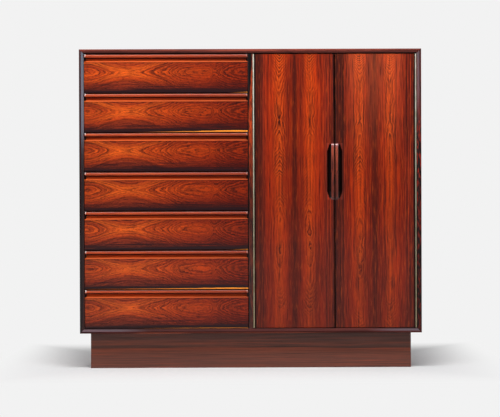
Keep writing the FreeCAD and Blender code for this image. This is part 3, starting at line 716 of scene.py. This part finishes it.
# front edge of the bottom: purplish, with a painted grey reflection on its bevel towards its ends, and a
# paler line along its lower arris
bottomEdge = {
    "span": (-0.6225, 0.6225),
    "paintedReflection": (120, 106, 116),
    "paintedReflectionAlong": ((0.0, 0.5), (0.12, 0.4), (0.20, 0.0), (0.84, 0.0), (0.92, 0.4), (1.0, 0.5)),
    "paintedReflectionUp": ((0.0, 0.0), (0.35, 0.1), (0.5, 1.0), (0.75, 1.0), (0.95, 0.2)),
    "pale": (176, 88, 60),
    "paleAlong": (
        (0.0, 0.1), (0.15, 0.15), (0.18, 0.9), (0.30, 0.9), (0.33, 0.3), (0.62, 0.5), (0.75, 0.1),
    ),
    "paleUp": ((0.05, 1.0), (0.20, 0.0)),
}


def bottomWood(look):
    material, shader, shade, (x, y, z) = straightWood("caseBottom")
    shader.inputs["Specular IOR Level"].default_value = caseVeneer["specular"]
    low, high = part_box("case_bottom")
    share = spread(x, *look["span"])
    up = spread(z, low[2], high[2])
    front = spread(y, *caseVeneer["lipping"], 1.0, 0.0)
    # a painted reflection on the bevel towards the ends, then the paler line along the lower arris
    for tone in ("paintedReflection", "pale"):
        amount = times(ramp(share, look[tone + "Along"]), ramp(up, look[tone + "Up"]))
        shade = tintOrShade(shade, times(amount, front), look[tone])
    feed(shader.inputs["Base Color"], shade)
    return material


# plinth: greyer above, redder below, with a dark streak between and a dark line of painted shadow under the
# case
plinthFinish = {
    "height": 0.132,
    "tones": (                 # from the floor up
        (0.0, (98, 60, 51)), (0.12, (108, 61, 48)), (0.22, (102, 62, 52)), (0.42, (120, 67, 51)),
        (0.53, (138, 67, 46)), (0.57, (82, 57, 49)), (0.615, (84, 59, 52)), (0.65, (112, 67, 55)),
        (0.70, (106, 65, 54)), (0.76, (104, 70, 62)), (0.90, (92, 68, 62)),
    ),
    "shadow": (34, 28, 29),
    "shadowUp": (0.94, 0.97),
    "dark": (62, 42, 37),
    "red": (160, 72, 46),
    "toneShare": 0.7,          # how much these tones cover the plain wood
}


def plinthWood(look):
    material, shader, shade, (x, y, z) = straightWood("plinthWood")
    up = calc("DIVIDE", z, look["height"])
    sway = grainNoise(x, y, z, (2.4, 2.4, 9.0))
    tone = ramp(shiftBy(up, sway, 0.14), look["tones"])
    shade = mixColour(look["toneShare"], shade, tone)
    streak = grainNoise(x, y, z, (4.0, 4.0, 330.0), 4.0, 0.65)
    shade = wash(shade, streak, 0.51, 0.64, 0.6, look["dark"])
    shade = wash(shade, streak, 0.46, 0.34, 0.45, look["red"])
    shade = wash(shade, up, *look["shadowUp"], 0.85, look["shadow"])
    feed(shader.inputs["Base Color"], shade)
    return material


# pulls: a lip over a cove, with painted shade in the cove and the gaps, and painted highlights on the lip
# tips
pullFinish = {
    # near-black painted shade in the coves, the gaps above and under the drawer lips, the notches at the
    # pull ends and between the door pulls
    "tintOrShade": (20, 9, 8),
    "coveShadeDepths": (-0.2185, -0.2070),      # y between which the cove of a drawer pull darkens
    "endRelief": (0.0053, 0.0045),         # from the end of a drawer pull
    "reliefDepths": (-0.2215, -0.2200),
    # a near-white painted highlight on the upper part of each lip end, stronger at the left end of the pull
    "tipHighlightLength": (0.0075, 0.002),
    "tipHighlight": (255, 246, 240),
    "proud": (-0.2226, -0.2240),           # y between which the lip counts as standing proud
    # painted shade on the lip: over its top, and growing towards the right end of the pull
    "lip": (104, 42, 36),
    # painted light on the lower part of the cove, which faces up
    "bright": (232, 106, 46),
    "levels": (                            # tones of a drawer pull and how much of them, from its top down
        # painted shade over the top of the lip
        ("lip", ((0.08, 0.45), (0.22, 0.3), (0.38, 0.0))),
        # painted shade in the gap above the lip and under the lip, at the top of the cove
        ("tintOrShade", ((0.06, 0.85), (0.12, 0.0), (0.385, 0.0), (0.41, 0.9), (0.50, 0.9), (0.56, 0.0))),
        # painted light on the lower part of the cove and its edge
        ("bright", ((0.68, 0.0), (0.82, 0.5), (1.0, 0.6))),
    ),
    "doorDepths": (-0.2275, -0.2160),
    "doorLip": (206, 100, 72),             # the lips of the door pulls grow paler towards the top
    "doorLipFrom": (0.075, 0.020),         # from the top of the pull
    # painted highlight on the top ends of the door pull lips
    "doorTipHighlight": (140, 78, 78),
    "doorTipHighlightFrom": (0.018, 0.012),
    "doorCoveShade": (-0.2208, -0.2150),
    "rightDark": 0.6,                      # how much of the door's dark edge its flat takes on the right
    "meetingGapShade": (0.0030, 0.0020),
}


def drawerPullWood(number, look):
    material, shader, shade, (x, y, z) = straightWood(f"pullWood{number}", "pullWood")
    low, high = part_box(f"drawer_{number}_pull")
    # painted shade: the cove of the drawer pull darkens inwards
    shade = wash(shade, y, *look["coveShadeDepths"], 0.35, look["tintOrShade"])
    proud = spread(y, *look["proud"])
    fromTop = minus(high[2], z)
    drop = spread(fromTop, 0.0, high[2] - low[2])
    grain = grainNoise(x, y, z, (22.0, 600.0, 600.0), 3.0)
    grain = spread(grain, 0.36, 0.62, 0.45, 1.0)
    for tone, weight in look["levels"]:
        amount = ramp(drop, weight)
        if tone == "bright":
            amount = times(amount, grain)
        shade = tintOrShade(shade, amount, look[tone])
    fromMiddle = apart(x, (low[0] + high[0]) / 2)
    fromEnd = minus((high[0] - low[0]) / 2, fromMiddle)
    # painted shade: the notch at each end of the cove turns near black
    notchShade = spread(fromEnd, *look["endRelief"], 0.0, 0.95)
    notchShade = times(notchShade, spread(y, *look["reliefDepths"]))
    shade = tintOrShade(shade, notchShade, look["tintOrShade"])
    # painted highlight on the lip ends
    tipHighlight = times(spread(fromEnd, *look["tipHighlightLength"]), proud, spread(drop, 0.36, 0.18))
    share = spread(x, low[0], high[0])
    tipHighlight = times(tipHighlight, spread(share, 0.4, 0.6, 1.0, 0.3))
    # painted shade: the pull darkens towards its right end
    shade = wash(shade, share, 0.35, 1.0, 0.4, look["lip"])
    shade = tintOrShade(shade, tipHighlight, look["tipHighlight"])
    feed(shader.inputs["Base Color"], shade)
    return material


def doorPullWood(side, look):
    material, shader, shade, (x, y, z) = straightWood(f"{side}PullWood", "doorPullWood")
    low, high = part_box(f"{side}_door")
    half = (high[0] - low[0]) / 2
    leaf = apart(x, low[0] + half)
    grain = grainNoise(x, 1.0, z, (420.0, 1.0, 9.0), 3.0, 0.62)
    flat = ramp(calc("DIVIDE", leaf, half), doorFigure["bands"])
    flat = wash(flat, grain, 0.46, 0.68, 0.8, doorFigure["line"])
    if side == "right":
        flat = tintOrShade(flat, look["rightDark"], doorFigure["darkEdge"])
    fromTop = minus(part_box(f"{side}_door_pull")[1][2], z)
    shade = wash(shade, fromTop, *look["doorLipFrom"], 0.4, look["doorLip"])
    # painted highlight on the top ends of the lips
    shade = wash(shade, fromTop, *look["doorTipHighlightFrom"], 0.75, look["doorTipHighlight"])
    depth = spread(y, *look["doorDepths"])
    face = ramp(depth, ((0.0, 0.0), (0.30, 0.1), (0.42, 0.95), (0.52, 0.95), (0.56, 1.0)))
    shade = mixColour(face, shade, flat)
    # painted shade: the coves of the door pulls darken inwards
    shade = tintOrShade(shade, spread(y, *look["doorCoveShade"]), look["tintOrShade"])
    left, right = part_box("left_door_pull"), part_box("right_door_pull")
    meeting = (left[1][0] + right[0][0]) / 2
    # painted shade in the gap between the door pulls
    shade = wash(shade, apart(x, meeting), *look["meetingGapShade"], 1.0, look["tintOrShade"])
    feed(shader.inputs["Base Color"], shade)
    return material


# front edge of the divider: dark on the left, wavy orange grain on the right
dividerEdge = {
    "dark": (12, 10, 12),
    "red": ((0.35, (106, 42, 26)), (0.65, (130, 48, 25)), (0.90, (196, 70, 28))),    # by height
    "line": (40, 15, 12),
    "change": (-0.0062, 0.0050),           # x at which the dark ends, low on the divider and at its top
    "changeHeights": (0.93, 1.13),
    "patchTop": (0.85, 0.65),              # z under which dark patches come in
}


def dividerWood(look):
    material, shader, _, (x, y, z) = straightWood("dividerWood", "caseUpright")
    wave = grainNoise(x, y, z, (260.0, 40.0, 16.0), 3.0)
    amount = ramp(wave, ((0.36, 1.0), (0.47, 0.0), (0.58, 1.0), (0.66, 0.0)))
    shade = tintOrShade(ramp(z, look["red"]), amount, look["line"])
    patch = spread(grainNoise(x, y, z, (260.0, 40.0, 11.0)), 0.47, 0.56, 0.0, 0.85)
    patch = times(patch, spread(z, *look["patchTop"]))
    shade = tintOrShade(shade, patch, look["dark"])
    drift = shiftBy(x, noiseLine(z, 5.0), 0.006)
    change = spread(z, *look["changeHeights"], *look["change"])
    shade = wash(shade, minus(drift, change), 0.001, 0.0, 1.0, look["dark"])
    feed(shader.inputs["Base Color"], shade)
    return material


paint(casePanel("caseTop", 3.1, caseVeneer), "case_top")
paint(bottomWood(bottomEdge), "case_bottom")
paint(casePanel("caseUpright", 5.7, caseVeneer), "case_left_side")
paint(casePanel("caseRight", 9.2, caseVeneer), "case_right_side")
paint(dividerWood(dividerEdge), "centre_divider")
paint(plinthWood(plinthFinish), "plinth_front", "plinth_back", "plinth_left", "plinth_right")
paint(plainWood("backBoard"), "back_panel")
paint(plainWood("shelfWood"), "upper_shelf", "lower_shelf")
for side in ("left", "right"):
    paint(doorPullWood(side, pullFinish), f"{side}_door_pull")
liningAlong, liningAcross = plainWood("liningAlong"), plainWood("liningAcross")
paint(liningAlong, "drawer_runners", "plinth_corner_blocks")
for number in range(1, drawerCount + 1):
    paint(drawerPullWood(number, pullFinish), f"drawer_{number}_pull")
    paint(liningAlong, f"drawer_{number}_sides")
    paint(liningAcross, f"drawer_{number}_back", f"drawer_{number}_bottom")
print("solid wood finished")


# piano hinges: knuckles rolled from the leaf, every second one on the other leaf
pianoHinge = {
    "axisX": {"left": 0.012, "right": 0.6025},
    "axisY": -0.222,
    "knuckles": 49,
    "gap": 0.0003,
    "radius": 0.0027,
    "bore": 0.00155,
    "rollDeg": 335.0,
    "rollSteps": 22,
    "leafOut": 0.004,          # from the axis to the far face of a leaf
    "leafThick": 0.001,
    "leafBack": 0.018,
    "leafBevel": 0.00015,
    "tabBack": 0.0042,
    "tabBevel": 0.0001,
    "overlap": 0.0002,         # of the plate and the tabs, so that they join
    "smoothDeg": 35.0,
    "weld": 0.00001,
    "screws": 9,
    "screwIn": 0.0115,         # from the axis back to the screws
    "screwRadius": 0.0028,
    "unshadedCase": (-0.0027, -0.0030),   # how far the knuckles shine, from the axis towards the case
    "unshadedDoor": (0.0008, 0.0016),     # and towards the door
    "hingeShadeBack": (-0.2165, -0.2175),
}


def knuckleShadeMask(x, y, look):
    # 1 where painted shade darkens the brass beside the shining part of the knuckles, on the front of
    # either hinge
    left = minus(x, look["axisX"]["left"])
    right = minus(look["axisX"]["right"], x)
    middle = (look["axisX"]["left"] + look["axisX"]["right"]) / 2
    onRight = calc("GREATER_THAN", x, middle)
    toDoor = mixNumber(onRight, left, right)
    door = spread(toDoor, *look["unshadedDoor"])
    case = spread(toDoor, *look["unshadedCase"])
    beside = calc("MAXIMUM", door, case)
    return times(beside, spread(y, *look["hingeShadeBack"], 0.0, 0.92))


# metal and plastic fittings
fittings = {
    "hingeBrass": {
        "colour": (242, 238, 226), "dull": (198, 192, 168), "roughness": 0.38, "metallic": 0.55,
        "paintedLightHeights": (           # painted light: the brass grows paler from the floor up to the top of the chest
            (0.12, (206, 192, 164)), (0.45, (198, 194, 174)), (0.70, (226, 230, 216)),
            (1.0, (254, 253, 250)),
        ),
        "hingeShade": (26, 18, 15),
    },
    "pinBrass": {"colour": (206, 176, 112), "dull": (150, 120, 70), "roughness": 0.3, "metallic": 1.0},
    "catchPlastic": {"colour": (72, 46, 32), "dull": (58, 36, 26), "roughness": 0.55, "metallic": 0.0},
    "screwSteel": {"colour": (190, 186, 176), "dull": (140, 134, 122), "roughness": 0.35, "metallic": 1.0},
}


def fitting(name, look):
    material, shader = newMaterial(name, look["roughness"], metallic=look["metallic"])
    x, y, z = placeIn(shader)
    cloud = noise(joinXyz(x, y, z), 35.0, 4.0, 0.6)
    bright, dull = screenColour(*look["colour"]), screenColour(*look["dull"])
    shade = mixColour(spread(cloud, 0.4, 0.7), bright, dull)
    if "paintedLightHeights" in look:
        # painted light: paler brass higher up the chest
        paintedLight = ramp(spread(z, cadBox[0][2], cadBox[1][2]), look["paintedLightHeights"])
        shade = mixColour(1.0, shade, paintedLight, "MULTIPLY")
        # painted shade beside the shining part of the knuckles
        shade = tintOrShade(shade, knuckleShadeMask(x, y, pianoHinge), look["hingeShade"])
    feed(shader.inputs["Base Color"], shade)
    scratch = grainNoise(x, y, z, (2200.0, 2200.0, 60.0))
    rough = look["roughness"]
    feed(shader.inputs["Roughness"], spread(scratch, 0.3, 0.7, rough - 0.06, rough + 0.1))
    return material


metals = {name: fitting(name, look) for name, look in fittings.items()}
paint(metals["pinBrass"], "shelf_pins", "hinge_pins")
paint(metals["catchPlastic"], "door_catches")
print("fittings finished")


def startPiece():
    # nothing selected, so that an operator works on the new primitive alone
    if bpy.context.mode != "OBJECT":
        bpy.ops.object.mode_set(mode="OBJECT")
    bpy.ops.object.select_all(action="DESELECT")


def choose(*pieces):
    # only these are selected, the first of them active
    startPiece()
    for piece in pieces:
        piece.select_set(True)
    bpy.context.view_layer.objects.active = pieces[0]


def settle(piece):
    # the place and turn go into the mesh
    choose(piece)
    bpy.ops.object.transform_apply(location=True, rotation=True, scale=True)


def joinPieces(name, pieces):
    choose(*pieces)
    bpy.ops.object.join()
    pieces[0].name = name
    return pieces[0]


def applyModifier(piece, kind, **settings):
    bpy.context.view_layer.objects.active = piece
    modifier = piece.modifiers.new(kind.lower(), kind)
    for setting, value in settings.items():
        setattr(modifier, setting, value)
    bpy.ops.object.modifier_apply(modifier=modifier.name)


def finishPiece(piece, material, body):
    piece.data.materials.clear()
    piece.data.materials.append(material)
    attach(piece, body)


def easedBlock(low, high, bevel):
    # a block between two corners with eased edges
    startPiece()
    size = [b - a for a, b in zip(low, high)]
    middle = [(a + b) / 2 for a, b in zip(low, high)]
    bpy.ops.mesh.primitive_cube_add(size=1, location=middle, scale=size)
    piece = bpy.context.object
    settle(piece)
    applyModifier(piece, "BEVEL", width=bevel, segments=2)
    return piece


def leafSpan(axisX, side, look):
    # x of the two faces of a leaf
    out = look["leafOut"]
    return sorted((axisX + side * out, axisX + side * (out - look["leafThick"])))


def rolledKnuckle(axisX, side, base, length, look):
    # a strip of leaf turned round the pin, with the tab that joins it to the leaf
    startPiece()
    middle = (look["radius"] + look["bore"]) / 2
    place = (axisX + side * middle, look["axisY"], base + length / 2)
    bpy.ops.mesh.primitive_plane_add(size=1, location=place, rotation=(math.pi / 2, 0, 0))
    roll = bpy.context.object
    roll.scale = (look["radius"] - look["bore"], length, 1)
    settle(roll)
    bpy.ops.object.mode_set(mode="EDIT")
    bpy.ops.mesh.select_all(action="SELECT")
    bpy.ops.mesh.spin(steps=look["rollSteps"], angle=-side * math.radians(look["rollDeg"]),
                      center=(axisX, look["axisY"], base), axis=(0, 0, 1))
    bpy.ops.mesh.select_all(action="SELECT")
    bpy.ops.mesh.remove_doubles(threshold=look["weld"])
    bpy.ops.mesh.normals_make_consistent(inside=False)
    bpy.ops.object.mode_set(mode="OBJECT")
    bpy.ops.object.shade_smooth_by_angle(angle=math.radians(look["smoothDeg"]))
    near, far = leafSpan(axisX, side, look)
    tabHigh = (far, look["axisY"] + look["tabBack"], base + length)
    tab = easedBlock((near, look["axisY"], base), tabHigh, look["tabBevel"])
    return joinPieces("knuckle", [roll, tab])


def hingeLeaf(node, door, part, look):
    low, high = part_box(node)
    axisX = look["axisX"][door]
    outward = -1 if door == "left" else 1
    side = outward if part == "case" else -outward
    pitch = (high[2] - low[2]) / look["knuckles"]
    first = 0 if part == "case" else 1
    count = (look["knuckles"] + 1) // 2 - first
    base = low[2] + first * pitch + look["gap"] / 2
    knuckle = rolledKnuckle(axisX, side, base, pitch - look["gap"], look)
    applyModifier(knuckle, "ARRAY", count=count, use_relative_offset=False, use_constant_offset=True,
                  constant_offset_displace=(0, 0, 2 * pitch))
    near, far = leafSpan(axisX, side, look)
    plateLow = (near, look["axisY"] + look["tabBack"] - look["overlap"], low[2])
    plate = easedBlock(plateLow, (far, look["axisY"] + look["leafBack"], high[2]), look["leafBevel"])
    name = f"{door}Hinge{part.title()}"
    leaf = joinPieces(name + "Leaf", [plate, knuckle])
    body = "carcass" if part == "case" else f"{door}_door"
    finishPiece(leaf, metals["hingeBrass"], body)
    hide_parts(node)
    face = axisX + side * (look["leafOut"] - look["leafThick"])
    spots = []
    for place in range(look["screws"]):
        height = low[2] + (high[2] - low[2]) * (place + 0.5) / look["screws"]
        spots.append((face, look["axisY"] + look["screwIn"], height))
    turn = (0, -side * math.pi / 2, 0)
    screws = screwRow(name + "Screws", spots, turn, look["screwRadius"])
    finishPiece(screws, metals["screwSteel"], body)


# slotted screw head, in head radii
screwHead = {"sides": 16, "height": 0.35, "slotWidth": 0.28, "slotDepth": 0.22, "dome": 0.62}


def selectTop(mesh, halfWidth):
    # the faces on top of the head that lie within a strip along x
    bpy.ops.object.mode_set(mode="OBJECT")
    for face in mesh.polygons:
        face.select = face.normal.z > 0.9 and abs(face.center.y) < halfWidth
    bpy.ops.object.mode_set(mode="EDIT")


def modelScrew(radius, look):
    # a low domed head with a slot, standing on z = 0 and facing up
    startPiece()
    height = radius * look["height"]
    place = (0, 0, height / 2)
    bpy.ops.mesh.primitive_cylinder_add(vertices=look["sides"], radius=radius, depth=height, location=place)
    screw = bpy.context.object
    settle(screw)
    slot = radius * look["slotWidth"] / 2
    selectTop(screw.data, radius)
    bpy.ops.mesh.select_mode(type="FACE")
    bpy.ops.transform.resize(value=(look["dome"], look["dome"], 1))
    for side in (-1, 1):
        bpy.ops.mesh.bisect(plane_co=(0, side * slot, 0), plane_no=(0, 1, 0))
        bpy.ops.mesh.select_all(action="DESELECT")
        selectTop(screw.data, radius)
    selectTop(screw.data, slot)
    bpy.ops.mesh.extrude_region_move(TRANSFORM_OT_translate={"value": (0, 0, -radius * look["slotDepth"])})
    bpy.ops.object.mode_set(mode="OBJECT")
    return screw


def screwRow(name, spots, turn, radius):
    model = modelScrew(radius, screwHead)
    copies = []
    for spot in spots:
        choose(model)
        bpy.ops.object.duplicate(linked=False)
        copy = bpy.context.object
        copy.rotation_euler = turn
        copy.location = spot
        settle(copy)
        copies.append(copy)
    bpy.data.objects.remove(model)
    return joinPieces(name, copies)


for door in ("left", "right"):
    for part in ("case", "door"):
        hingeLeaf(f"{door}_hinge_{part}_leaf", door, part, pianoHinge)
print("piano hinges rolled")


# strike plates let into the backs of the doors, opposite the catches
strikePlate = {
    "width": 0.030,
    "height": 0.011,
    "proud": 0.00015,
    "sunk": 0.0006,
    "bevel": 0.0001,
    "offset": 0.046,           # from the gap between the doors
    "top": 0.0025,
}


def addStrike(door, look):
    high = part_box(f"{door}_door")[1]
    meeting = (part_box("left_door")[1][0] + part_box("right_door")[0][0]) / 2
    middle = meeting + (-look["offset"] if door == "left" else look["offset"])
    top = high[2] - look["top"]
    corner = (middle - look["width"] / 2, high[1] - look["sunk"], top - look["height"])
    plate = easedBlock(corner, (middle + look["width"] / 2, high[1] + look["proud"], top), look["bevel"])
    plate.name = f"{door}Strike"
    finishPiece(plate, metals["screwSteel"], f"{door}_door")


for door in ("left", "right"):
    addStrike(door, strikePlate)
print("strike plates set")


# screws that hold the back panel in its rebate
backScrews = {"inset": 0.012, "across": 7, "up": 5, "radius": 0.0032}


def addBackScrews(look):
    low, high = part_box("back_panel")
    left, right = low[0] + look["inset"], high[0] - look["inset"]
    bottom, top = low[2] + look["inset"], high[2] - look["inset"]
    spots = []
    for place in range(look["across"]):
        x = left + (right - left) * place / (look["across"] - 1)
        spots += [(x, high[1], bottom), (x, high[1], top)]
    for place in range(1, look["up"]):
        z = bottom + (top - bottom) * place / look["up"]
        spots += [(left, high[1], z), (right, high[1], z)]
    screws = screwRow("backPanelScrews", spots, (-math.pi / 2, 0, 0), look["radius"])
    finishPiece(screws, metals["screwSteel"], "carcass")


addBackScrews(backScrews)
print("back panel screwed on")
